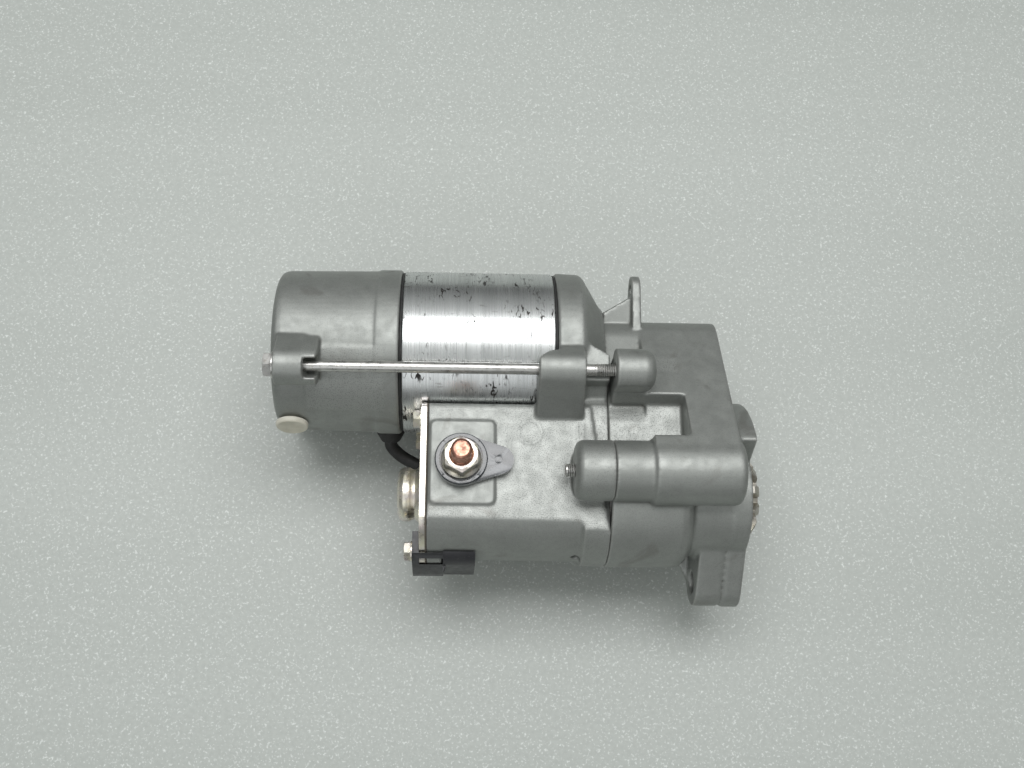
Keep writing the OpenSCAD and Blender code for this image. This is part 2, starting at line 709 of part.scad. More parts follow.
// Bearing behind the ring gear, outer part
module clutch_rear_bearing() {
    color(steel) ball_bearing(-69.8, -62.2, 24, 15.06, 0, 12);
}

// Bearing at the front of the clutch sleeve, outer part
module clutch_front_bearing() {
    color(steel) ball_bearing(-28.5, -19.2, 22, 13.06, 0, 12);
}

// Ring gear and drum
module clutch_outer() {
    color([0.68, 0.68, 0.70]) difference() {
        union() {
            prism_x(gear_rear_x, gear_front_x) gear_outline(gear_module, clutch_teeth);
            turned([[-69.4, 0], [-69.4, 15], [gear_rear_x - 0.4, 15], [gear_rear_x - 0.4, 22],
                [gear_front_x - 0.5, 22], [gear_front_x - 0.5, 24.5], [-31.5, 24.5],
                [-30.5, 23.5], [-30.5, 0]]);
        }
        rod_x(-70, -58.2, 11.5);
        rod_x(-58.4, -48, 14.2);
        rod_x(-48.2, -33, 19.1);
        rod_x(-33.2, -30, 14.2);
    }
}

// Wedge rollers between drum and sleeve
module clutch_rollers() {
    rollers = 8;
    color([0.85, 0.85, 0.87]) for (i = [0:rollers - 1])
        rod_x(-46.5, -34, 2.4, 16.5 * cos(i * 360 / rollers), 16.5 * sin(i * 360 / rollers));
}

// Sleeve that the rollers drive; splined inside at the front
module clutch_inner() {
    color([0.72, 0.72, 0.74]) difference() {
        turned([[-57.8, 0], [-57.8, 13.6], [-57.4, 14], [-30, 14], [-30, 13], [-18, 13], [-17.6, 12.6],
            [-17.6, 0]]);
        rod_x(-60, -34, 10.6);
        prism_x(-35, -17) spline_outline(0.08);
    }
}

// Splined outline: six keys on a core
module spline_outline(gap) {
    circle(spline_r - 1.2 + gap);
    for (i = [0:5]) rotate(i * 60) translate([0, -1.9 - gap]) square([spline_r + gap, 3.8 + 2 * gap]);
}

// Lip seal in front of the bearing
module nose_seal() {
    color(black) race_x(-18.9, -15.8, 17, 13.3, 0, 0, 0.3);
}

/* Pinion */

// Splined shaft that carries the pinion
module pinion_shaft() {
    color(steel) {
        rod_x(-58, -20, 7.4);
        prism_x(-33, -15) spline_outline(0);
        turned([[-15.2, 0], [-15.2, 8.2], [6.1, 8.2], [6.9, 7.4], [6.9, 0]]);
    }
}

// Drive pinion with chamfered teeth
module pinion() {
    tip = pinion_module * (pinion_teeth / 2 + 1);
    color([0.70, 0.68, 0.62]) difference() {
        intersection() {
            prism_x(pinion_rear_x, pinion_rear_x + pinion_w)
                gear_outline(pinion_module, pinion_teeth, 90, 0.3, 0.62);
            turned([[pinion_rear_x, 0], [pinion_rear_x, tip - 1.2], [pinion_rear_x + 1.2, tip + 0.1],
                [pinion_rear_x + pinion_w - 3, tip + 0.1], [pinion_rear_x + pinion_w, tip - 4],
                [pinion_rear_x + pinion_w, 0]]);
        }
        rod_x(pinion_rear_x - 1, pinion_rear_x + pinion_w + 1, 8.2);
        rod_x(6.3, 10, 10);
    }
}

// Collar at the rear of the shaft and snap ring at its front
module pinion_stop() {
    color([0.55, 0.55, 0.58]) {
        tube_x(-57.5, -55, 10.3, 7.4);
        tube_x(6.4, 7.4, 9.8, 8.2);
    }
}

// Return spring of the pinion shaft
module pinion_spring() {
    color([0.60, 0.62, 0.66]) coil_x(-54.8, -34.2, 9.1, 0.7, 6);
}

// Ball between plunger rod and pinion shaft
module steel_ball() {
    color([0.85, 0.85, 0.87]) translate([-61.55, 0, 0]) sphere(3.5, $fn = 48);
}

/* Magnetic switch */

// Iron plunger
module plunger() {
    color([0.66, 0.66, 0.68]) difference() {
        turned([[-124, 0], [-124, 12.2], [-123.3, 12.9], [plunger_front_x - 0.8, 12.9],
            [plunger_front_x, 12.1], [plunger_front_x, 0]]);
        rod_x(-125, plunger_front_x + 1, 3);
        rod_x(-100, plunger_front_x + 1, 8.6);
    }
}

// Brass rod through the plunger
module plunger_rod() {
    color([0.78, 0.66, 0.38]) {
        turned([[-156.4, 0], [-156.4, 5], [-155, 5], [-155, 3], [-65.1, 3], [-65.1, 0]]);
        tube_x(disc_front_x + 0.1, disc_front_x + 1.1, 5, 3);
    }
}

// Return spring of the plunger
module plunger_spring() {
    color([0.60, 0.62, 0.66]) coil_x(-99.8, core_x - end_gap, 6.8, 0.7, 6);
}

// Moving contact disc
module contact_plate() {
    color(copper) race_x(disc_front_x - 2, disc_front_x, 16.5, 3.05, 0, 0, 0.4);
}

// Spring that presses the disc on the contacts
module contact_spring() {
    color([0.60, 0.62, 0.66]) coil_x(-154.8, disc_front_x - 2.2, 4.6, 0.6, 5);
}

// Fixed iron core
module core_ring() {
    color([0.55, 0.55, 0.58])
        turned([[core_x, 3.3], [-72, 3.3], [-72, barrel_bore_r], [core_x, barrel_bore_r]]);
}

// Spool of the winding
module coil_bobbin() {
    flange = barrel_bore_r - 0.3;
    color([0.12, 0.12, 0.13]) turned([[-121.9, 13.2], [core_x, 13.2], [core_x, flange], [-81.4, flange],
        [-81.4, 14.3], [-120.4, 14.3], [-120.4, flange], [-121.9, flange]]);
}

// Pull-in and hold-in winding
module switch_coil() {
    color([0.62, 0.30, 0.20]) race_x(-120.3, -81.5, barrel_bore_r - 1.4, 14.4, 0, 0, 0.8);
}

// Copper blocks that the disc closes on, each with a post up to its stud
module fixed_contacts() {
    color(copper) for (s = [0, 1]) mirror([0, 0, s]) {
        translate([contact_x, 5, 6.2]) cube([4.6, 10, 10.6]);
        translate([terminal_x, terminal_y, 16]) cylinder(h = 4.9, r = stud_d / 2);
    }
}

// Copper stud: a head in the chamber, a shank under the nut and a free end above it
module stud(shank_z, top_z, free_r) {
    head_z = 21;
    translate([terminal_x, terminal_y, 0]) {
        translate([0, 0, head_z]) cylinder(h = 2.4, r = stud_d / 2 + 1.2);
        translate([0, 0, head_z + 2.2]) cylinder(h = shank_z - head_z - 2.2, r = stud_d / 2);
        translate([0, 0, shank_z]) cylinder(h = top_z - shank_z - 0.8, r = free_r);
        translate([0, 0, top_z - 0.8]) cylinder(h = 0.8, r1 = free_r, r2 = free_r - 0.8);
    }
}

// Battery stud
module terminal_stud() {
    color(copper) stud(42, 51.5, stud_d / 2 - 0.2);
}

// Motor stud on the underside
module motor_terminal() {
    color(copper) mirror([0, 0, 1]) stud(41.5, 44.5, stud_d / 2);
}

// Round insulator with a collar through the housing, bored for the stud
module insulator_disc(top_z) {
    difference() {
        union() {
            children();
            translate([0, 0, 23.6]) cylinder(h = insulator_z - 23.5, r = stud_d / 2 + 1.4);
            translate([0, 0, insulator_z]) cylinder(h = top_z - insulator_z, r = 11.8);
        }
        translate([0, 0, 20]) cylinder(h = 30, r = stud_d / 2 + 0.05);
    }
}

// Insulator of the battery stud: a teardrop with a raised, notched rim
module terminal_insulator() {
    rim_z = nut_seat_z + 1.4;
    color(black) translate([terminal_x, terminal_y, 0]) difference() {
        insulator_disc(rim_z - 0.5) {
            translate([0, 0, insulator_z]) linear_extrude(3.4) pill([0, 0], 11.7, [17, 0], 6.5);
            translate([0, 0, rim_z - 0.5]) cylinder(h = 0.5, r1 = 11.8, r2 = 11.3);
        }
        translate([0, 0, nut_seat_z]) cylinder(h = 3, r = 9.7);
        translate([16.6, 0, insulator_z + 3.1]) difference() {
            cylinder(h = 1, r = 1.9);
            translate([0, 0, -1]) cylinder(h = 3, r = 1.5);
        }
        for (a = [0:90:270]) rotate(a + 45) translate([10.3, -0.3, rim_z - 0.6]) cube([1, 0.6, 2]);
    }
}

// Insulator of the motor stud
module motor_terminal_insulator() {
    color(black) mirror([0, 0, 1]) translate([terminal_x, terminal_y, 0]) insulator_disc(nut_seat_z);
}

// Flanged nut
module flange_nut(z0, af, flange_r, h) {
    translate([terminal_x, terminal_y, z0]) difference() {
        union() {
            cylinder(h = 1.8, r = flange_r);
            translate([0, 0, 1.7]) cylinder(h = 1.2, r1 = flange_r, r2 = af / 2 - 0.5);
            intersection() {
                translate([0, 0, 1]) rotate(12) cylinder(h = h - 1, r = af / sqrt(3), $fn = 6);
                union() {
                    cylinder(h = h - 1.2, r = af);
                    translate([0, 0, h - 1.2]) cylinder(h = 1.2, r1 = af / sqrt(3) + 0.25, r2 = af / 2 - 0.3);
                }
            }
        }
        translate([0, 0, -1]) cylinder(h = h + 2, r = stud_d / 2 + 0.05);
    }
}

// Nut of the battery stud
module terminal_nut() {
    color(zinc) flange_nut(nut_seat_z, 14.5, 8.9, 10.5);
}

// Nut of the motor stud; it holds the lead's lug
module motor_terminal_nut() {
    color(zinc) mirror([0, 0, 1]) flange_nut(nut_seat_z + lug_t, 14.5, 8.9, 8);
}

/* Switch cover and connector */

// Cover outline: the box, the barrel and the lug of the lower bolt
module cover_outline() {
    difference() {
        switch_outline();
        translate([axis_gap, 0]) circle(yoke_r + 1);
    }
    translate(cover_bolt_places[2]) circle(5.6);
}

// Zinc-plated cover with a hollow dome
module switch_cover() {
    x0 = cover_x - gasket_t - cover_t;
    color(zinc) difference() {
        union() {
            prism_x(x0, x0 + cover_t) cover_outline();
            turned([[x0 + 0.1, 0], [x0 + 0.1, 13.6], [x0 - 1.2, 12.8], [x0 - 2.6, 11.6], [x0 - 4, 11.8],
                [x0 - 5.4, 12.6], [x0 - 8, 12.6], [x0 - 9.7, 11.6], [x0 - 10.7, 9.4],
                [x0 - 10.9, 7], [x0 - 10.9, 0]]);
        }
        turned([[x0 + 4, 0], [x0 + 4, 11], [x0 - 2, 10.4], [x0 - 7.6, 10.4], [x0 - 9.6, 8.2],
            [x0 - 9.6, 0]]);
        for (p = cover_bolt_places) rod_x(x0 - 1, cover_x + 1, 2.6, p[0], p[1]);
    }
}

// Gasket under the cover
module cover_gasket() {
    color([0.30, 0.28, 0.25]) difference() {
        prism_x(cover_x - gasket_t, cover_x) cover_outline();
        prism_x(cover_x - 1, cover_x + 1) intersection() {
            circle(barrel_bore_r - 0.5);
            square(80, center = true);
        }
        for (p = cover_bolt_places) rod_x(cover_x - 1, cover_x + 1, 2.6, p[0], p[1]);
    }
}

// Three small bolts of the cover; the third also holds the connector
module cover_bolts() {
    color(zinc) for (i = [0:2]) {
        seat_x = i == 2 ? -150.7 : cover_x - gasket_t - cover_t;
        translate([0, cover_bolt_places[i][0], cover_bolt_places[i][1]]) {
            difference() {
                hex_x(seat_x - 3.8, seat_x - 0.7, 8);
                rod_x(seat_x - 4.2, seat_x - 3.4, 2.6);
            }
            rod_x(seat_x - 0.8, seat_x, 4.6);
            rod_x(seat_x - 0.1, -135, 2.45);
        }
    }
}

// Black connector beside the barrel: a bolted block and a socket open downwards
module connector_housing() {
    seat_x = -150.6;
    plate_x = cover_x - gasket_t - cover_t;
    split_x = -136.5;
    front_x = -122;
    color(black) difference() {
        union() {
            prism_x(seat_x, plate_x - 0.1) block_outline();
            prism_x(plate_x - 0.3, split_x) difference() {
                block_outline();
                circle(barrel_r + 0.8);
                translate(cover_bolt_places[2]) circle(6.2);
            }
            prism_x(split_x - 0.1, front_x) difference() {
                socket_outline();
                circle(barrel_r + 0.8);
            }
            // Concave corner between the two blocks
            translate([split_x - 0.1, -36.2, -8]) linear_extrude(12) difference() {
                square([4.2, 4.2]);
                translate([4.3, -0.1]) circle(4, $fn = 48);
            }
        }
        rod_x(seat_x - 1, plate_x + 1, 2.6, cover_bolt_places[2][0], cover_bolt_places[2][1]);
        // Socket
        translate([-134.4, -31.9, -31]) cube([10.2, 4.9, 14.6]);
        // Latch slot in the rear block
        translate([seat_x - 1, -34.6, -10]) cube([3, 2.2, 5]);
    }
}

// Rear block of the connector
module block_outline() {
    polygon([[-19, 11], [-28.9, 11], [-33, 4.5], [-36, -6], [-36.4, -11], [-34, -12.5], [-24, -12.5],
        [-19, -6]]);
}

// Front block of the connector, which holds the socket
module socket_outline() {
    polygon([[-17, 14.5], [-18, 15.5], [-24.5, 15.5], [-31.5, 9.5], [-33.4, 6], [-33.4, -29], [-32.9, -30],
        [-26, -30], [-25.4, -29], [-25.4, -18], [-28, -12], [-17, 6]]);
}

// Blade terminal in the socket
module connector_blade() {
    color([0.78, 0.66, 0.38]) translate([-132.4, -29.8, -24.5]) cube([6.3, 0.8, 8.1]);
}

/* Motor lead */

// Points of the lead from the lug to the grommet; the last three lie on the grommet's axis
lead_points = [
    [-140.9, 16.9, -32], [-145, 18.9, -32.6], [-149.5, 21, -33.2], [-154, 23.2, -33.4], [-158.2, 25.6, -33],
    [-161.4, 28, -31.6], [-163.2, 29.8, -30.2], [-164, 31.6, -28.8], [-164, 37.2, -24.6], [-164, 43.6, -19.8]
];

// Round tube through a list of points
module swept_tube(points, r, sides = 10) {
    last = len(points) - 1;
    function along(i) = let(v = points[min(i + 1, last)] - points[max(i - 1, 0)]) v / norm(v);
    function across(i) = let(t = along(i), s = cross(t, [0, 0, 1])) s / norm(s);
    rings = [for (i = [0:last], k = [0:sides - 1])
        let(w = 360 * k / sides, s = across(i), u = cross(s, along(i)))
        points[i] + r * (cos(w) * s + sin(w) * u)];
    faces = [
        [for (k = [sides - 1:-1:0]) k],
        [for (k = [0:sides - 1]) last * sides + k],
        for (i = [0:last - 1], k = [0:sides - 1]) let(k1 = (k + 1) % sides)
            [i * sides + k, i * sides + k1, (i + 1) * sides + k1, (i + 1) * sides + k]
    ];
    polyhedron(rings, faces, convexity = 4);
}

// Stranded lead from the motor terminal into the end frame
module motor_lead() {
    color(black) swept_tube(lead_points, lead_r);
}

// Ring terminal of the lead
module lead_lug() {
    color(copper) translate([terminal_x, terminal_y, -nut_seat_z - lug_t]) difference() {
        linear_extrude(lug_t) rotate(150) pill([0, 0], 8.6, [9, 0], 4.2);
        translate([0, 0, -1]) cylinder(h = 4, r = stud_d / 2 + 0.1);
    }
}

// Rubber grommet where the lead enters the end frame
module lead_grommet() {
    color(black) towards_lead() difference() {
        union() {
            translate([0, 0, 36]) cylinder(h = 4, r = 4.95);
            translate([0, 0, 39.8]) cylinder(h = 2, r = 7);
            translate([0, 0, 41.8]) cylinder(h = 4.5, r1 = 7, r2 = 4.6);
        }
        translate([0, 0, 30]) cylinder(h = 30, r = lead_r + 0.2);
    }
}

drive_housing();
switch_housing();
yoke();
end_frame();
yoke_seals();
vent_plug();
through_bolts();
housing_screws();
pole_shoes();
field_coils();
brush_holder();
brushes();
brush_springs();
armature_shaft();
armature_core();
armature_windings();
commutator();
rear_bearing();
front_bearing();
armature_bearing_rings();
drum_bearing_ring();
sleeve_bearing_ring();
felt_washer();
idler_pin();
idler_gear();
idler_rollers();
clutch_rear_bearing();
clutch_front_bearing();
clutch_outer();
clutch_rollers();
clutch_inner();
nose_seal();
pinion_shaft();
pinion();
pinion_stop();
pinion_spring();
steel_ball();
plunger();
plunger_rod();
plunger_spring();
contact_plate();
contact_spring();
core_ring();
coil_bobbin();
switch_coil();
fixed_contacts();
terminal_stud();
terminal_insulator();
terminal_nut();
motor_terminal();
motor_terminal_insulator();
motor_terminal_nut();
switch_cover();
cover_gasket();
cover_bolts();
connector_housing();
connector_blade();
motor_lead();
lead_lug();
lead_grommet();
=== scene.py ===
# Looks of the starter motor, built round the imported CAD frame.
# Metres, in the part's own frame: the pinion and switch share the X axis, and the motor
# lies beside them towards +Y.
import json
import math

import bmesh
import bpy
from mathutils import Matrix, Vector


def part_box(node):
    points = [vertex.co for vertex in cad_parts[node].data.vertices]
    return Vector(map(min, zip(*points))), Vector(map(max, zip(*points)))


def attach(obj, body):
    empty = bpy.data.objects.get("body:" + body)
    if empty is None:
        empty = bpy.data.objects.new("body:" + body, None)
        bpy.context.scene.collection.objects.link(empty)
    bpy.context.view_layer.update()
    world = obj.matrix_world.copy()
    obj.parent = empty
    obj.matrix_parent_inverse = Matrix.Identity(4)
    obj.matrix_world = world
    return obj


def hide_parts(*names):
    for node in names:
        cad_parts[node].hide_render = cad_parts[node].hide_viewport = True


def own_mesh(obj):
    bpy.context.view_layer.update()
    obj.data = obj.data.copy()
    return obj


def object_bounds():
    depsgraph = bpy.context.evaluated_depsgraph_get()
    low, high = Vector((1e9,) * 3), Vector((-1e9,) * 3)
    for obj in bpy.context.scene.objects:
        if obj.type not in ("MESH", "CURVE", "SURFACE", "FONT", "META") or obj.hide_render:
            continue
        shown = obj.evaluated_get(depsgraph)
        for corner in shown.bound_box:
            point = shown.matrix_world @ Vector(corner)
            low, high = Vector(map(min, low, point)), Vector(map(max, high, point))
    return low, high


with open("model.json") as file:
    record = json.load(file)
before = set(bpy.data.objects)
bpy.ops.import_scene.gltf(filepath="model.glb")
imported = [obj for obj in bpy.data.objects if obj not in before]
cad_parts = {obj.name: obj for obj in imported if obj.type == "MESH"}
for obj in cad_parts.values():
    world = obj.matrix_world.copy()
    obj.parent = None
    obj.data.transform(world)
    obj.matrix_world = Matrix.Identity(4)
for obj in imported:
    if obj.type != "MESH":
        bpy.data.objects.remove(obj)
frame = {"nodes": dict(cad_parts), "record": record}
cad_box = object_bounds()

MM = 0.001
X_AXIS = Vector((1, 0, 0))
Z_AXIS = Vector((0, 0, 1))


def middle(node):
    """Centre of a CAD node's box."""
    low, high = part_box(node)
    return (low + high) / 2


# ---------------------------------------------------------------- places from the frame
motor = middle("yoke")
yoke_low, yoke_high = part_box("yoke")
yoke_r = (yoke_high.y - yoke_low.y) / 2
seal_low, seal_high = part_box("yoke_seals")
bolt_low, bolt_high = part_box("through_bolts")
collar_depth = 2.4 * MM  # of the insulator's collar, below the flats of the terminal box
box_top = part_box("terminal_insulator")[0].z + collar_depth
switch_low, switch_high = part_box("switch_housing")
rear_low, rear_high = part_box("end_frame")


# ---------------------------------------------------------------- mesh helpers
def new_piece(name, verts, faces):
    """An object in the scene from plain vertices and faces."""
    mesh = bpy.data.meshes.new(name)
    mesh.from_pydata(verts, [], faces)
    mesh.update()
    piece = bpy.data.objects.new(name, mesh)
    bpy.context.scene.collection.objects.link(piece)
    return piece


def cad_copy(node, name, flatten=True):
    """A new piece that starts from a CAD node's shape, its points merged."""
    bm = bmesh.new()
    bm.from_mesh(frame["nodes"][node].data)
    bmesh.ops.remove_doubles(bm, verts=bm.verts, dist=0.005 * MM)
    if flatten:
        bmesh.ops.dissolve_limit(bm, angle_limit=math.radians(0.5), verts=bm.verts, edges=bm.edges)
    bmesh.ops.recalc_face_normals(bm, faces=bm.faces)
    verts = [v.co.copy() for v in bm.verts]
    faces = [[v.index for v in f.verts] for f in bm.faces]
    bm.free()
    return new_piece(name, verts, faces)


def settle(piece):
    """Applies the piece's modifiers to its mesh."""
    graph = bpy.context.evaluated_depsgraph_get()
    mesh = bpy.data.meshes.new_from_object(piece.evaluated_get(graph), depsgraph=graph)
    piece.modifiers.clear()
    piece.data = mesh
    return piece


def shade(piece, sharp_deg=35):
    """Smooth shading that keeps edges sharper than the angle."""
    piece.data.shade_smooth()
    piece.data.set_sharp_from_angle(angle=math.radians(sharp_deg))
    return piece


def bevelled(node, name, width):
    """A CAD node's shape with its edges rounded."""
    piece = cad_copy(node, name)
    bevel = piece.modifiers.new("bevel", "BEVEL")
    bevel.width = width
    bevel.segments = 3
    bevel.limit_method = "ANGLE"
    bevel.angle_limit = math.radians(30)
    bevel.use_clamp_overlap = True
    bevel.harden_normals = False
    return shade(settle(piece), 40)


def casting(node, name, voxel):
    """A CAD node's shape with the soft edges and corners of a casting."""
    piece = cad_copy(node, name, flatten=False)
    remesh = piece.modifiers.new("remesh", "REMESH")
    remesh.mode = "VOXEL"
    remesh.voxel_size = voxel
    smooth = piece.modifiers.new("smooth", "SMOOTH")
    smooth.factor = 0.5
    smooth.iterations = 4
    settle(piece)
    piece.data.shade_smooth()
    return piece


def mark(piece, name, test):
    """Stores test(point, normal), from 0 to 1, on the piece's points for its material."""
    values = [test(v.co, v.normal) for v in piece.data.vertices]
    layer = piece.data.attributes.new(name, "FLOAT", "POINT")
    layer.data.foreach_set("value", values)


def ramp(value, low, high):
    """0 below low, 1 above high, smooth between."""
    t = min(1.0, max(0.0, (value - low) / (high - low)))
    return t * t * (3 - 2 * t)


class Body:
    """Collects turned and swept bodies that become one piece."""

    def __init__(self):
        self.verts = []
        self.faces = []

    def rings(self, points, columns, tube=False):
        """Joins equal rings of points; a tube's last ring meets its first."""
        start = len(self.verts)
        for ring in points:
            self.verts.extend(ring)
        count = len(points)
        for i in range(count if tube else count - 1):
            a, b = start + i * columns, start + (i + 1) % count * columns
            for k in range(columns):
                k1 = (k + 1) % columns
                self.faces.append([a + k, a + k1, b + k1, b + k])
        if not tube:
            last = start + (count - 1) * columns
            self.faces.append([start + k for k in reversed(range(columns))])
            self.faces.append([last + k for k in range(columns)])

    def turned(self, profile, origin, axis, columns=64, tube=False):
        """Turns (along, radius) points about an axis. A point may be a function of the angle."""
        axis = Vector(axis).normalized()
        side = axis.orthogonal().normalized()
        up = axis.cross(side)
        points = []
        for step in profile:
            ring = []
            for k in range(columns):
                angle = math.tau * k / columns
                along, radius = step(angle) if callable(step) else step
                ring.append(origin + axis * along + radius * (math.cos(angle) * side + math.sin(angle) * up))
            points.append(ring)
        self.rings(points, columns, tube)

    def swept(self, path, radius, columns=12):
        """A round bar along a list of points."""
        points = []
        side = None
        for i, p in enumerate(path):
            along = (path[min(i + 1, len(path) - 1)] - path[max(i - 1, 0)]).normalized()
            side = along.orthogonal() if side is None else side - along * side.dot(along)
            side.normalize()
            up = along.cross(side)
            points.append([p + radius * (math.cos(math.tau * k / columns) * side
                                         + math.sin(math.tau * k / columns) * up) for k in range(columns)])
        self.rings(points, columns)

    def piece(self, name, sharp_deg=35):
        made = new_piece(name, self.verts, self.faces)
        bm = bmesh.new()
        bm.from_mesh(made.data)
        bmesh.ops.recalc_face_normals(bm, faces=bm.faces)
        bm.to_mesh(made.data)
        bm.free()
        return shade(made, sharp_deg)


def hexagon(across, along, cut, turn=0.0):
    """Ring of a hexagon head. cut above 0 lowers its corners as a chamfering cone does."""
    def ring(angle):
        corner = math.radians(60)
        radius = across / 2 / math.cos((angle + turn) % corner - corner / 2)
        return along - cut * (radius - across / 2 + 0.25 * MM) * math.tan(math.radians(30)), radius
    return ring


def thread(start, end, radius, pitch, depth=0.32 * MM, per_turn=8):
    """Rings of a helical thread, faded out at both ends."""
    def ring(along):
        def at(angle):
            phase = (along / pitch - angle / math.tau) % 1
            fade = min(1, (along - start) / pitch, (end - along) / pitch)
            return along, radius - depth * abs(2 * phase - 1) * max(0, fade) - depth * (1 - fade) * 0.5
        return at
    count = round((end - start) / pitch * per_turn)
    return [ring(start + (end - start) * i / count) for i in range(count + 1)]


# ---------------------------------------------------------------- materials
class Look:
    """A Principled material with short helpers for its nodes."""

    def __init__(self, name, metallic=0.0, **fixed):
        self.material = bpy.data.materials.new(name)
        self.material.use_nodes = True
        self.nodes = self.material.node_tree.nodes
        self.links = self.material.node_tree.links
        self.shader = self.nodes["Principled BSDF"]
        self.shader.inputs["Metallic"].default_value = metallic
        for socket, value in fixed.items():
            self.shader.inputs[socket.replace("_", " ")].default_value = value
        self.place = self.nodes.new("ShaderNodeTexCoord").outputs["Object"]

    def put(self, value, socket):
        """Feeds a socket from another node's output or with a plain value."""
        if isinstance(value, bpy.types.NodeSocket):
            self.links.new(value, socket)
        else:
            socket.default_value = value

    def stretched(self, stretch):
        """The place, scaled along each axis."""
        node = self.nodes.new("ShaderNodeMapping")
        node.inputs["Scale"].default_value = stretch
        self.put(self.place, node.inputs["Vector"])
        return node.outputs["Vector"]

    def noise(self, size, detail=2.0, stretch=None, warp=0.0):
        """Noise from 0 to 1 whose features are about size metres."""
        node = self.nodes.new("ShaderNodeTexNoise")
        node.inputs["Scale"].default_value = 1 / size
        node.inputs["Detail"].default_value = detail
        node.inputs["Distortion"].default_value = warp
        self.put(self.stretched(stretch) if stretch else self.place, node.inputs["Vector"])
        return node.outputs["Fac"]

    def level(self, value, low, high, start=0.0, end=1.0):
        """Maps low..high of a value to start..end, clamped."""
        node = self.nodes.new("ShaderNodeMapRange")
        self.put(value, node.inputs["Value"])
        node.inputs["From Min"].default_value = low
        node.inputs["From Max"].default_value = high
        node.inputs["To Min"].default_value = start
        node.inputs["To Max"].default_value = end
        return node.outputs["Result"]

    def math(self, operation, a, b):
        node = self.nodes.new("ShaderNodeMath")
        node.operation = operation
        self.put(a, node.inputs[0])
        self.put(b, node.inputs[1])
        return node.outputs[0]

    def mix(self, factor, a, b):
        """Colour a turning into colour b."""
        node = self.nodes.new("ShaderNodeMix")
        node.data_type = "RGBA"
        self.put(factor, node.inputs[0])
        self.put((*a, 1) if isinstance(a, tuple) else a, node.inputs[6])
        self.put((*b, 1) if isinstance(b, tuple) else b, node.inputs[7])
        return node.outputs[2]

    def marked(self, name):
        """A value that mark() stored on the mesh."""
        node = self.nodes.new("ShaderNodeAttribute")
        node.attribute_name = name
        return node.outputs["Fac"]

    def edges(self):
        """About 0.5 on flats, more on outer edges, less in corners."""
        return self.nodes.new("ShaderNodeNewGeometry").outputs["Pointiness"]

    def bump(self, height, depth, strength=1.0, under=None):
        node = self.nodes.new("ShaderNodeBump")
        node.inputs["Distance"].default_value = depth
        node.inputs["Strength"].default_value = strength
        self.put(height, node.inputs["Height"])
        if under:
            self.put(under, node.inputs["Normal"])
        return node.outputs["Normal"]

    def finish(self, colour, roughness, normal):
        self.put((*colour, 1) if isinstance(colour, tuple) else colour, self.shader.inputs["Base Color"])
        self.put(roughness, self.shader.inputs["Roughness"])
        self.put(normal, self.shader.inputs["Normal"])
        return self.material


def cast_aluminium():
    """Satin cast aluminium: fine grain, pebbled fields, grime and painted shade in corners, rubbed edges."""
    look = Look("cast_aluminium", metallic=0.82)
    pebbled = look.marked("pebbled")
    machined = look.marked("machined")
    patches = look.level(look.noise(14 * MM, 4), 0.3, 0.7)
    mottle = look.level(look.noise(1.6 * MM, 4), 0.3, 0.7)
    specks = look.level(look.noise(0.42 * MM, 1), 0.52, 0.66)
    colour = look.mix(patches, (0.315, 0.327, 0.312), (0.36, 0.372, 0.356))
    colour = look.mix(look.level(mottle, 0, 1, 0, 0.3), colour, (0.27, 0.28, 0.265))
    colour = look.mix(look.math("MULTIPLY", pebbled, 0.85), colour, (0.40, 0.412, 0.395))
    colour = look.mix(look.math("MULTIPLY", specks, look.level(pebbled, 0, 1, 0.2, 0.65)), colour,
                      (0.12, 0.125, 0.12))
    colour = look.mix(look.math("MULTIPLY", machined, 0.8), colour, (0.52, 0.52, 0.49))
    # Corners and recesses darkened: grime and painted shade.
    grime_and_corner_shade = look.level(look.edges(), 0.487, 0.44)
    colour = look.mix(look.math("MULTIPLY", grime_and_corner_shade, look.level(patches, 0, 1, 0.85, 0.45)), colour,
                      (0.10, 0.095, 0.085))
    rubbed = look.math("MULTIPLY", look.level(look.edges(), 0.52, 0.57), look.level(mottle, 0, 1, 0.25, 0.8))
    colour = look.mix(rubbed, colour, (0.58, 0.58, 0.56))
    stain = look.math("MULTIPLY", look.level(look.noise(26 * MM, 5, warp=1.5), 0.60, 0.70), 0.35)
    colour = look.mix(stain, colour, (0.16, 0.15, 0.135))
    roughness = look.level(look.noise(5 * MM, 3), 0.3, 0.7, 0.47, 0.60)
    grain = look.bump(look.noise(0.45 * MM, 3), 0.06 * MM, 0.6)
    pebbles = look.math("MULTIPLY", look.noise(0.55 * MM, 1), pebbled)
    coarse = look.bump(pebbles, -0.12 * MM, 0.7, grain)
    tool = look.math("MULTIPLY", look.noise(0.35 * MM, 1, (1, 0.06, 0.06)), machined)
    return look.finish(colour, roughness, look.bump(tool, 0.03 * MM, 0.5, coarse))


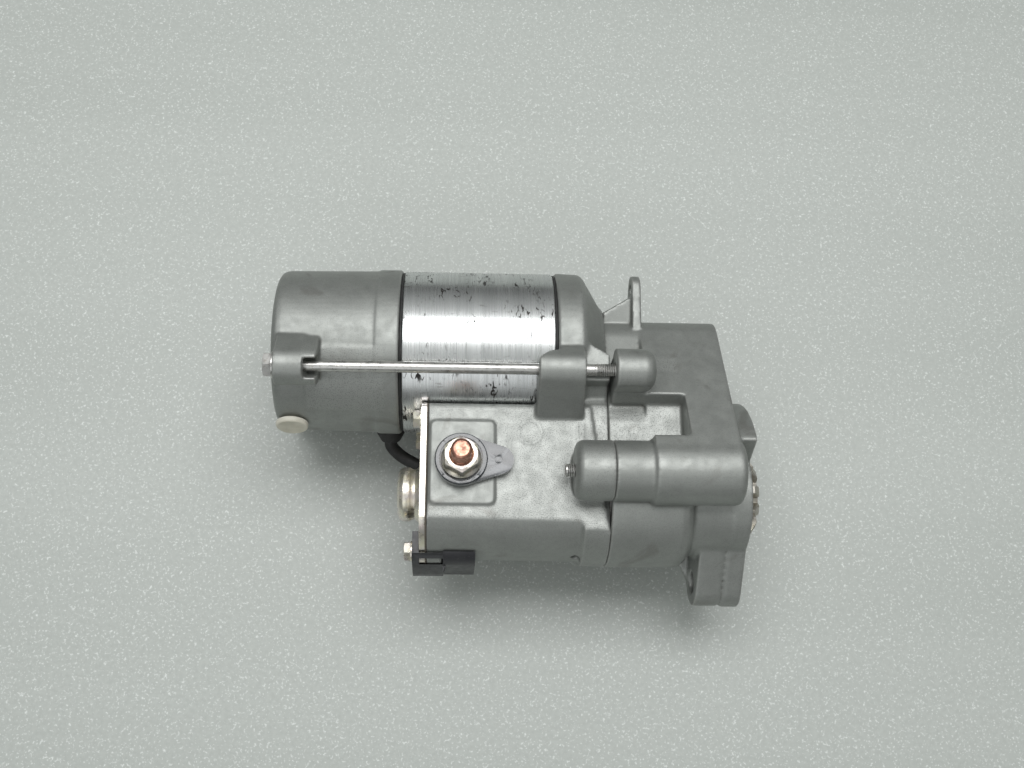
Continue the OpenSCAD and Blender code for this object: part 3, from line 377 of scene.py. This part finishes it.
def yoke_steel():
    """Turned, lacquered steel with lathe lines round the tube, scuffs and thin scratches."""
    look = Look("yoke_steel", metallic=1.0)
    lines = look.noise(0.5 * MM, 2, (1, 0.012, 0.012))
    bands = look.noise(4 * MM, 2, (1, 0.03, 0.03))
    colour = look.mix(look.level(bands, 0.3, 0.7), (0.60, 0.615, 0.615), (0.72, 0.735, 0.735))
    colour = look.mix(look.level(lines, 0.35, 0.65, 0, 0.3), colour, (0.50, 0.51, 0.51))
    region = look.level(look.noise(15 * MM, 2), 0.50, 0.60)
    flakes = look.level(look.noise(3.2 * MM, 5, (1.5, 0.6, 0.6), 1.6), 0.585, 0.60)
    scuffs = look.math("MULTIPLY", flakes, region)
    colour = look.mix(look.math("MULTIPLY", scuffs, 0.95), colour, (0.035, 0.03, 0.028))
    streaks = look.noise(1.6 * MM, 4, (0.22, 1.4, 1.4), 0.6)
    scratches = look.math("MULTIPLY", look.level(streaks, 0.66, 0.69), 0.5)
    colour = look.mix(scratches, colour, (0.25, 0.24, 0.23))
    roughness = look.math("ADD", look.level(lines, 0.3, 0.7, 0.22, 0.34), look.math("MULTIPLY", scuffs, 0.3))
    return look.finish(colour, roughness, look.bump(lines, 0.012 * MM, 0.5))


def machined_steel(name, colour_a, colour_b, rough_low, rough_high, stain=0.35):
    """Machined steel: fine tool lines across X, faint brown stains, painted shade in corners."""
    look = Look(name, metallic=1.0)
    lines = look.noise(0.3 * MM, 2, (1, 0.05, 0.05))
    patches = look.level(look.noise(3.5 * MM, 4), 0.35, 0.65)
    colour = look.mix(patches, colour_a, colour_b)
    marks = look.math("MULTIPLY", look.level(look.noise(1.3 * MM, 4), 0.56, 0.68), stain)
    colour = look.mix(marks, colour, (0.22, 0.17, 0.13))
    # Corners darkened with painted shade.
    colour = look.mix(look.level(look.edges(), 0.49, 0.44, 0, 0.6), colour, (0.08, 0.075, 0.07))
    roughness = look.level(patches, 0, 1, rough_low, rough_high)
    return look.finish(colour, roughness, look.bump(lines, 0.015 * MM, 0.5))


def zinc_plate():
    """Bright zinc plating with the faint yellow and pink of its passivation."""
    look = Look("zinc_plate", metallic=1.0)
    tint = look.level(look.noise(9 * MM, 3, warp=1.0), 0.38, 0.62)
    colour = look.mix(tint, (0.80, 0.76, 0.62), (0.80, 0.72, 0.68))
    colour = look.mix(look.level(look.noise(2.5 * MM, 4), 0.4, 0.7, 0, 0.45), colour, (0.72, 0.73, 0.74))
    # Corners darkened: dirt and painted shade.
    dirt_and_corner_shade = look.level(look.edges(), 0.49, 0.45, 0, 0.6)
    colour = look.mix(dirt_and_corner_shade, colour, (0.16, 0.13, 0.09))
    roughness = look.level(look.noise(1.5 * MM, 3), 0.3, 0.7, 0.24, 0.40)
    return look.finish(colour, roughness, look.bump(look.noise(0.6 * MM, 3), 0.02 * MM, 0.5))


def copper_metal(name, bright, dull, rough_low=0.30, rough_high=0.5):
    """Bare copper or brass with darker oxide and lathe rings."""
    look = Look(name, metallic=1.0)
    oxide = look.level(look.noise(1.8 * MM, 4), 0.4, 0.65)
    colour = look.mix(oxide, bright, dull)
    roughness = look.level(oxide, 0, 1, rough_low, rough_high)
    return look.finish(colour, roughness, look.bump(look.noise(0.4 * MM, 3), 0.02 * MM, 0.6))


def winding(name):
    """Enamelled wire laid round the X axis: even ridges with painted shade in their grooves, and a clear
    gloss.
    """
    look = Look(name, metallic=0.6, Coat_Weight=0.5, Coat_Roughness=0.15)
    wave = look.nodes.new("ShaderNodeTexWave")
    wave.inputs["Scale"].default_value = 0.35 / MM
    wave.inputs["Distortion"].default_value = 0.6
    look.put(look.place, wave.inputs["Vector"])
    ridges = wave.outputs["Fac"]
    # Darker in the grooves between the wires: painted shade.
    colour = look.mix(ridges, (0.20, 0.06, 0.03), (0.52, 0.21, 0.11))
    roughness = look.level(look.noise(2 * MM, 3), 0.3, 0.7, 0.30, 0.45)
    return look.finish(colour, roughness, look.bump(ridges, 0.12 * MM, 0.9))


def laminated_iron(name):
    """Electrical steel: thin sheets stacked along X, lightly oiled."""
    look = Look(name, metallic=0.9)
    sheets = look.noise(0.5 * MM, 0, (1, 0.002, 0.002))
    colour = look.mix(look.level(sheets, 0.4, 0.6), (0.20, 0.20, 0.21), (0.36, 0.36, 0.37))
    roughness = look.level(look.noise(3 * MM, 3), 0.3, 0.7, 0.32, 0.5)
    return look.finish(colour, roughness, look.bump(sheets, 0.03 * MM, 0.6))


def moulding(name, base, light, rough_low, rough_high, grain=0.25 * MM, coat=0.0):
    """Moulded plastic, phenolic or rubber with a fine grain and paler rubbed edges."""
    look = Look(name, Coat_Weight=coat, Coat_Roughness=0.12)
    colour = look.mix(look.level(look.noise(4 * MM, 4), 0.35, 0.7), base, light)
    rubbed = look.level(look.edges(), 0.53, 0.60, 0, 0.5)
    colour = look.mix(rubbed, colour, tuple(min(1, 2.2 * c + 0.03) for c in light))
    dust = look.level(look.noise(0.5 * MM, 3), 0.66, 0.74, 0, 0.35)
    colour = look.mix(dust, colour, (0.30, 0.29, 0.27))
    roughness = look.level(look.noise(3 * MM, 3), 0.3, 0.7, rough_low, rough_high)
    return look.finish(colour, roughness, look.bump(look.noise(grain, 2), 0.02 * MM, 0.6))


def fibre(name, base, light, size):
    """Felt or gasket board: short crossed fibres."""
    look = Look(name)
    strands = look.noise(size, 4, (1, 2.5, 0.6), 1.0)
    colour = look.mix(look.level(strands, 0.3, 0.7), base, light)
    roughness = look.level(look.noise(3 * MM, 2), 0.3, 0.7, 0.82, 0.95)
    return look.finish(colour, roughness, look.bump(strands, 0.15 * MM, 0.8))


LOOKS = {
    "cast_aluminium": cast_aluminium(),
    "yoke_steel": yoke_steel(),
    "steel": machined_steel("steel", (0.52, 0.515, 0.50), (0.64, 0.63, 0.61), 0.26, 0.42),
    "greased_steel": machined_steel("greased_steel", (0.40, 0.375, 0.31), (0.52, 0.50, 0.46), 0.34, 0.5, 0.6),
    "zinc_plate": zinc_plate(),
    "copper": copper_metal("copper", (0.56, 0.30, 0.22), (0.30, 0.16, 0.12)),
    "winding": winding("winding"),
    "brass": copper_metal("brass", (0.72, 0.58, 0.30), (0.50, 0.38, 0.18), 0.24, 0.4),
    "iron": laminated_iron("iron"),
    "black_plastic": moulding("black_plastic", (0.011, 0.011, 0.014), (0.018, 0.018, 0.021), 0.30, 0.45),
    "black_rubber": moulding("black_rubber", (0.013, 0.013, 0.013), (0.024, 0.024, 0.024), 0.5, 0.7,
                             0.5 * MM),
    "insulator": moulding("insulator", (0.020, 0.023, 0.027), (0.042, 0.047, 0.054), 0.20, 0.30, 0.4 * MM,
                          1.0),
    "carbon": moulding("carbon", (0.03, 0.03, 0.03), (0.06, 0.06, 0.06), 0.45, 0.6, 0.3 * MM),
    "felt": fibre("felt", (0.42, 0.36, 0.25), (0.62, 0.55, 0.42), 0.5 * MM),
    "plug_plastic": moulding("plug_plastic", (0.55, 0.52, 0.42), (0.64, 0.61, 0.51), 0.35, 0.5, 0.4 * MM),
    "gasket": fibre("gasket", (0.07, 0.06, 0.05), (0.16, 0.14, 0.11), 0.3 * MM),
}
OWN_LOOK = {"pinion": "greased_steel"}
SLOT_OF = {part["node"]: part["material_slot"] for part in frame["record"]["subparts"]}
BODY_OF = {node: body for body, nodes in frame["record"]["behaviour"]["bodies"].items() for node in nodes}


def look_of(node):
    return LOOKS[OWN_LOOK.get(node, SLOT_OF[node])]


def stands_for(piece, node):
    """Gives the piece its node's finish and body, and hides the node."""
    piece.data.materials.clear()
    piece.data.materials.append(look_of(node))
    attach(piece, BODY_OF[node])
    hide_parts(node)
    return piece


# ---------------------------------------------------------------- castings
def nose_casting():
    """Drive housing, with rough pockets and ears and a machined flange."""
    piece = casting("drive_housing", "nose_casting", 0.75 * MM)
    pocket_top = 27.5 * MM

    def pebbled(p, n):
        pocket = ramp(n.z, 0.8, 0.95) * ramp(pocket_top - p.z, 0, MM) * ramp(p.z, 22 * MM, 24 * MM)
        pocket *= ramp(-28 * MM - p.x, 0, 2 * MM)
        ear = ramp(n.x, -0.8, -0.95) * ramp(-p.y, 20 * MM, 26 * MM)
        return max(pocket, 0.7 * ear)

    def machined(p, n):
        return ramp(abs(n.x), 0.85, 0.97) * ramp(p.x, -7 * MM, -5 * MM)

    mark(piece, "pebbled", pebbled)
    mark(piece, "machined", machined)
    return stands_for(piece, "drive_housing")


def switch_casting():
    """Switch housing: pebbled flats with a smooth pad round the terminal."""
    piece = casting("switch_housing", "switch_casting", 0.75 * MM)

    def pebbled(p, n):
        flat = ramp(abs(n.z), 0.9, 0.98) * ramp(abs(p.z), box_top - 2 * MM, box_top - 1.2 * MM)
        pad = ramp(abs(p.z), box_top + 0.3 * MM, box_top + 0.7 * MM)
        return flat * (1 - pad) + 0.25 * ramp(p.x, switch_high.x - 14 * MM, switch_high.x - 12 * MM)

    def machined(p, n):
        return ramp(-n.x, 0.9, 0.98) * ramp(switch_low.x + MM - p.x, 0, 0.5 * MM)

    mark(piece, "pebbled", pebbled)
    mark(piece, "machined", machined)
    return stands_for(piece, "switch_housing")


def rear_casting():
    """End frame, with its raised rough field towards the bolts."""
    piece = casting("end_frame", "rear_casting", 0.7 * MM)

    def pebbled(p, n):
        side = math.degrees(math.atan2(abs(p.z), p.y - motor.y))
        field = ramp(side, 103, 107) * ramp(154 - side, 0, 3)
        along = ramp(p.x, rear_low.x + 15 * MM, rear_low.x + 17 * MM)
        along *= ramp(rear_high.x - 10 * MM - p.x, 0, MM)
        return 0.5 * field * along

    mark(piece, "pebbled", pebbled)
    mark(piece, "machined", lambda p, n: 0.0)
    return stands_for(piece, "end_frame")


# ---------------------------------------------------------------- motor
def yoke_tube():
    """Turned steel tube with broken edges."""
    wall = 4 * MM
    edge = 0.4 * MM
    inner = yoke_r - wall
    profile = [(yoke_low.x + edge, yoke_r), (yoke_low.x, yoke_r - edge), (yoke_low.x, inner + edge),
               (yoke_low.x + edge, inner), (yoke_high.x - edge, inner), (yoke_high.x, inner + edge),
               (yoke_high.x, yoke_r - edge), (yoke_high.x - edge, yoke_r)]
    body = Body()
    body.turned(profile, Vector((0, motor.y, motor.z)), X_AXIS, 256, tube=True)
    return stands_for(body.piece("yoke_tube"), "yoke")


def seal_rings():
    """Two O-rings squeezed between the housings and the yoke."""
    width = yoke_low.x - seal_low.x
    outer = seal_high.y - motor.y
    inner = outer - 2.8 * MM
    body = Body()
    for start in (seal_low.x, seal_high.x - width):
        mid = start + width / 2
        bulge = [(mid + width / 2 * math.cos(a), outer - width / 2 + width / 2 * math.sin(a))
                 for a in [math.pi * i / 8 for i in range(9)]]
        body.turned(bulge + [(start, inner), (start + width, inner)], Vector((0, motor.y, motor.z)), X_AXIS,
                    192, tube=True)
    return stands_for(body.piece("seal_rings", 60), "yoke_seals")


def long_bolts():
    """Through bolts: chamfered head, washer, bare shank and cut thread into the nose."""
    washer_r = 6.2 * MM
    shank_r = 2.6 * MM
    across = 10 * MM
    thread_x = -69.5 * MM
    bolt_y = (bolt_low.y + bolt_high.y) / 2
    head, seat = bolt_low.x, bolt_low.x + 3.8 * MM
    body = Body()
    for z in (bolt_low.z + washer_r, bolt_high.z - washer_r):
        origin = Vector((0, bolt_y, z))
        top = [(head + 0.5 * MM, 2.6 * MM), (head + 0.1 * MM, 3.4 * MM), (head, 4.4 * MM)]
        body.turned(top + [hexagon(across, head, -1), hexagon(across, seat, 0)], origin, X_AXIS, 48)
        rim = 0.25 * MM
        body.turned([(seat - 0.02 * MM, washer_r - rim), (seat + rim, washer_r), (seat + MM - rim, washer_r),
                     (seat + MM, washer_r - rim)], origin, X_AXIS, 64)
        start, end = thread_x, bolt_high.x - 0.8 * MM
        shank = [(seat + 0.5 * MM, shank_r), (start - 0.8 * MM, shank_r), (start - 0.2 * MM, shank_r * 0.98)]
        body.turned(shank + thread(start, end, 2.85 * MM, MM) + [(bolt_high.x, 2.1 * MM)], origin, X_AXIS, 40)
    return stands_for(body.piece("long_bolts"), "through_bolts")


def joint_screws():
    """Housing screws, whose threaded tips stand out at the rear."""
    low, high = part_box("housing_screws")
    radius = 2.95 * MM
    thread_end_x = -73 * MM
    y = (low.y + high.y) / 2
    body = Body()
    for z in (low.z + radius, high.z - radius):
        tip = [(low.x, 2.2 * MM), (low.x + 0.3 * MM, 2.5 * MM)]
        rest = [(-72 * MM, radius), (-62 * MM, radius), (high.x - MM, 2.85 * MM), (high.x, 2.1 * MM)]
        profile = tip + thread(low.x + 0.5 * MM, thread_end_x, radius, MM) + rest
        body.turned(profile, Vector((0, y, z)), X_AXIS, 40)
    return stands_for(body.piece("joint_screws"), "housing_screws")


def vent_cap():
    """Pale plug with a rolled rim and a shallow dish."""
    plug_x = -208 * MM
    tilt_deg = 10.5  # above the line from the motor to the switch
    heading = math.radians(180 - tilt_deg)
    axis = Vector((0, math.cos(heading), math.sin(heading)))
    origin = Vector((plug_x, motor.y, 0))
    profile = [(35.8, 4.6), (36.2, 5.0), (38.6, 5.0), (38.6, 7.2), (38.8, 7.5), (40.0, 7.5), (40.6, 7.3),
               (41.0, 6.8), (41.1, 6.3), (40.95, 5.6), (40.8, 5.0), (40.75, 2.0)]
    body = Body()
    body.turned([(a * MM, r * MM) for a, r in profile], origin, axis, 72)
    return stands_for(body.piece("vent_cap", 50), "vent_plug")


# ---------------------------------------------------------------- terminals
def stud(node, name, sign):
    """Copper stud with lathe rings on its free end."""
    low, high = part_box(node)
    at = middle(node)
    base, tip = (low.z, high.z) if sign > 0 else (-high.z, -low.z)
    head_r, shank_r = (high.x - low.x) / 2, 4.8 * MM
    free_r = (4.6 if sign > 0 else 4.8) * MM
    shank_end = (42 if sign > 0 else 41.5) * MM
    profile = [(base, head_r - 0.3 * MM), (base + 0.3 * MM, head_r), (base + 2.1 * MM, head_r),
               (base + 2.4 * MM, shank_r), (shank_end, shank_r), (shank_end + 0.1 * MM, free_r)]
    along = shank_end + 0.5 * MM
    while sign > 0 and along < tip - 1.6 * MM:
        profile += [(along, free_r), (along + 0.35 * MM, free_r - 0.14 * MM), (along + 0.7 * MM, free_r)]
        along += 1.0 * MM
    profile += [(tip - 0.9 * MM, free_r), (tip - 0.25 * MM, free_r - 0.6 * MM), (tip, free_r - 1.2 * MM)]
    profile += [(tip - 0.12 * MM, 2.6 * MM), (tip - 0.05 * MM, 1.2 * MM), (tip - 0.25 * MM, 0.5 * MM)]
    body = Body()
    body.turned(profile, Vector((at.x, at.y, 0)), Z_AXIS * sign, 64)
    return stands_for(body.piece(name, 30), node)


def nut(node, name, sign):
    """Flanged nut, its corners cut by a chamfering cone."""
    low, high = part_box(node)
    at = middle(node)
    base, top = (low.z, high.z) if sign > 0 else (-high.z, -low.z)
    across, flange_r, bore = 14.5 * MM, (high.x - low.x) / 2, 4.85 * MM
    turn = math.radians(12)
    profile = [(base, bore), (base, flange_r - 0.2 * MM), (base + 0.25 * MM, flange_r),
               (base + 1.5 * MM, flange_r), (base + 1.85 * MM, flange_r - 0.4 * MM),
               lambda a: (base + 2.6 * MM, hexagon(across, 0, 0, turn)(a)[1] + 0.15 * MM),
               hexagon(across, base + 3.2 * MM, 0, turn), hexagon(across, top, 1, turn),
               (top, across / 2 - 0.45 * MM), (top, bore + 0.7 * MM), (top - 0.7 * MM, bore)]
    body = Body()
    body.turned(profile, Vector((at.x, at.y, 0)), Z_AXIS * sign, 72, tube=True)
    return stands_for(body.piece(name, 25), node)


# ---------------------------------------------------------------- switch cover and lead
def cover_screws():
    """Small hexagon bolts with washer faces and dished heads."""
    tip_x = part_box("cover_bolts")[1].x
    across = 8 * MM
    seats = [(31, 20.5, -147.4), (31, -20.5, -147.4), (-27, 3, -150.7)]  # y, z and seat's x, in mm
    body = Body()
    for y, z, seat in seats:
        origin = Vector((0, y * MM, z * MM))
        seat *= MM
        head = seat - 3.8 * MM
        top = [(head + 0.4 * MM, 0.8 * MM), (head + 0.4 * MM, 2.2 * MM), (head + 0.05 * MM, 2.7 * MM),
               (head, 3.6 * MM)]
        sides = [hexagon(across, head, -1), hexagon(across, seat - 0.75 * MM, 0)]
        body.turned(top + sides, origin, X_AXIS, 48)
        body.turned([(seat - 0.8 * MM, 4.4 * MM), (seat - 0.6 * MM, 4.6 * MM), (seat - 0.1 * MM, 4.6 * MM),
                     (seat, 4.4 * MM), (seat, 2.45 * MM), (tip_x, 2.45 * MM)], origin, X_AXIS, 48)
    return stands_for(body.piece("cover_screws"), "cover_bolts")


# Route of the motor lead in mm, from its ring terminal to the grommet, as in the CAD
LEAD_ROUTE = [
    (-140.9, 16.9, -32), (-145, 18.9, -32.6), (-149.5, 21, -33.2), (-154, 23.2, -33.4), (-158.2, 25.6, -33),
    (-161.4, 28, -31.6), (-163.2, 29.8, -30.2), (-164, 31.6, -28.8), (-164, 37.2, -24.6), (-164, 43.6, -19.8),
]


def smooth_route(points, steps=6):
    """Catmull-Rom curve through the points."""
    points = [Vector(p) * MM for p in points]
    ends = [2 * points[0] - points[1], *points, 2 * points[-1] - points[-2]]
    route = []
    for i in range(len(points) - 1):
        a, b, c, d = ends[i:i + 4]
        for k in range(steps):
            t = k / steps
            route.append(0.5 * (2 * b + (c - a) * t + (2 * a - 5 * b + 4 * c - d) * t ** 2
                                + (3 * b - a - 3 * c + d) * t ** 3))
    return route + [points[-1]]


def sleeved_lead():
    """Motor lead in a smooth rubber sleeve."""
    body = Body()
    body.swept(smooth_route(LEAD_ROUTE), 3.15 * MM, 20)
    return stands_for(body.piece("sleeved_lead"), "motor_lead")


# ---------------------------------------------------------------- springs
def spring(node, name, wire_r, turns, steps=32):
    """Coil spring along X in the space of its CAD node, with closed end turns."""
    low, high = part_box(node)
    at = middle(node)
    radius = (high.z - low.z) / 2 - wire_r
    start, end = low.x + wire_r, high.x - wire_r
    count = turns * steps
    route = []
    for i in range(count + 1):
        turn = turns * i / count
        share = ramp(turn, 0.0, 0.9) * 0.06 + ramp(turn, turns - 0.9, turns) * 0.06 + 0.88 * turn / turns
        angle = math.tau * turn
        route.append(Vector((start + (end - start) * share, at.y + radius * math.cos(angle),
                             at.z + radius * math.sin(angle))))
    body = Body()
    body.swept(route, wire_r, 10)
    return stands_for(body.piece(name), node)


nose_casting()
switch_casting()
rear_casting()
yoke_tube()
seal_rings()
long_bolts()
joint_screws()
vent_cap()
stud("terminal_stud", "battery_stud", 1)
stud("motor_terminal", "motor_stud", -1)
nut("terminal_nut", "battery_nut", 1)
nut("motor_terminal_nut", "motor_nut", -1)
cover_screws()
sleeved_lead()
for node, name, width in [
    ("terminal_insulator", "battery_insulator", 0.35 * MM),
    ("motor_terminal_insulator", "motor_insulator", 0.35 * MM),
    ("switch_cover", "cover_plate", 0.4 * MM),
    ("connector_housing", "plug_socket", 0.45 * MM),
    ("lead_lug", "ring_lug", 0.3 * MM),
    ("lead_grommet", "rubber_grommet", 0.4 * MM),
    ("pinion", "drive_pinion", 0.25 * MM),
    ("cover_gasket", "gasket_edge", 0.08 * MM),
]:
    stands_for(bevelled(node, name, width), node)
spring("contact_spring", "disc_spring", 0.6 * MM, 5)
for node, name, joint, fixed_x, keep in [
    ("plunger_spring", "core_spring", "plunger_slide", -80.2, 0.388),
    ("pinion_spring", "shaft_spring", "pinion_slide", -34.2, 0.417),
]:
    coil = spring(node, name, 0.7 * MM, 6)
    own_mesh(coil)

for node, cad_node in frame["nodes"].items():
    if not cad_node.hide_render:
        for i in range(len(cad_node.material_slots)):
            cad_node.material_slots[i].material = look_of(node)


# ---------------------------------------------------------------- floor, light, camera
def floor():
    """Pale foam sheet under the part."""
    look = Look("foam_sheet")
    bands = look.noise(60 * MM, 2, (0.05, 1, 1))
    colour = look.mix(look.level(bands, 0.3, 0.7), (0.43, 0.455, 0.43), (0.47, 0.495, 0.47))
    glints = look.level(look.noise(1.1 * MM, 2), 0.58, 0.70, 0, 0.55)
    colour = look.mix(glints, colour, (0.86, 0.89, 0.87))
    colour = look.mix(look.level(look.noise(2.4 * MM, 3), 0.35, 0.65, 0.35, 0), colour, (0.36, 0.38, 0.36))
    skin = look.bump(look.noise(1.8 * MM, 3), 0.15 * MM, 0.8)
    material = look.finish(colour, look.level(bands, 0.3, 0.7, 0.42, 0.5), skin)
    size = 3.0
    height = cad_box[0].z - 0.3 * MM
    sheet = new_piece("floor", [(-size, -size, height), (size, -size, height), (size, size, height),
                                (-size, size, height)], [(0, 1, 2, 3)])
    sheet.data.materials.append(material)


def area_light(name, towards, distance, size, power, colour=(1, 1, 1)):
    """Soft rectangular light that shines from a direction onto the part."""
    data = bpy.data.lights.new(name, "AREA")
    data.shape = "RECTANGLE"
    data.size, data.size_y = size
    data.energy = power
    data.color = colour
    light = bpy.data.objects.new(name, data)
    bpy.context.scene.collection.objects.link(light)
    direction = Vector(towards).normalized()
    centre = (cad_box[0] + cad_box[1]) / 2
    light.location = centre + direction * distance
    light.rotation_mode = "QUATERNION"
    light.rotation_quaternion = direction.to_track_quat("Z", "Y")


def studio():
    """Wide key light overhead, weak fill, and a ceiling that is brighter than the walls."""
    area_light("key", (0.0, 0.27, 0.96), 1.5, (1.5, 0.7), 16)
    area_light("fill", (-0.3, -0.7, 0.65), 1.9, (1.6, 1.2), 4, (0.96, 0.98, 1.0))
    world = bpy.data.worlds.new("room")
    bpy.context.scene.world = world
    world.use_nodes = True
    nodes, links = world.node_tree.nodes, world.node_tree.links
    background = nodes["Background"]
    background.inputs["Color"].default_value = (0.95, 0.98, 0.96, 1)
    split = nodes.new("ShaderNodeSeparateXYZ")
    links.new(nodes.new("ShaderNodeTexCoord").outputs["Generated"], split.inputs[0])
    ceiling = nodes.new("ShaderNodeMapRange")
    ceiling.inputs["From Min"].default_value = 0.1
    ceiling.inputs["From Max"].default_value = 0.8
    ceiling.inputs["To Min"].default_value = 0.12
    ceiling.inputs["To Max"].default_value = 0.55
    links.new(split.outputs["Z"], ceiling.inputs["Value"])
    links.new(ceiling.outputs["Result"], background.inputs["Strength"])
    bpy.context.scene.view_settings.view_transform = "Standard"


def camera():
    data = bpy.data.cameras.new("camera")
    data.lens = 38.7
    data.sensor_width = 36
    eye = bpy.data.objects.new("camera", data)
    bpy.context.scene.collection.objects.link(eye)
    eye.location = (-0.131, -0.101, 0.509)
    target = Vector((-0.1046, 0.056, -0.0042))
    back = (eye.location - target).normalized()
    right = Vector((0, 1, 0)).cross(back).normalized()
    eye.rotation_mode = "QUATERNION"
    eye.rotation_quaternion = Matrix((right, back.cross(right), back)).transposed().to_quaternion()
    bpy.context.scene.camera = eye


floor()
studio()
camera()
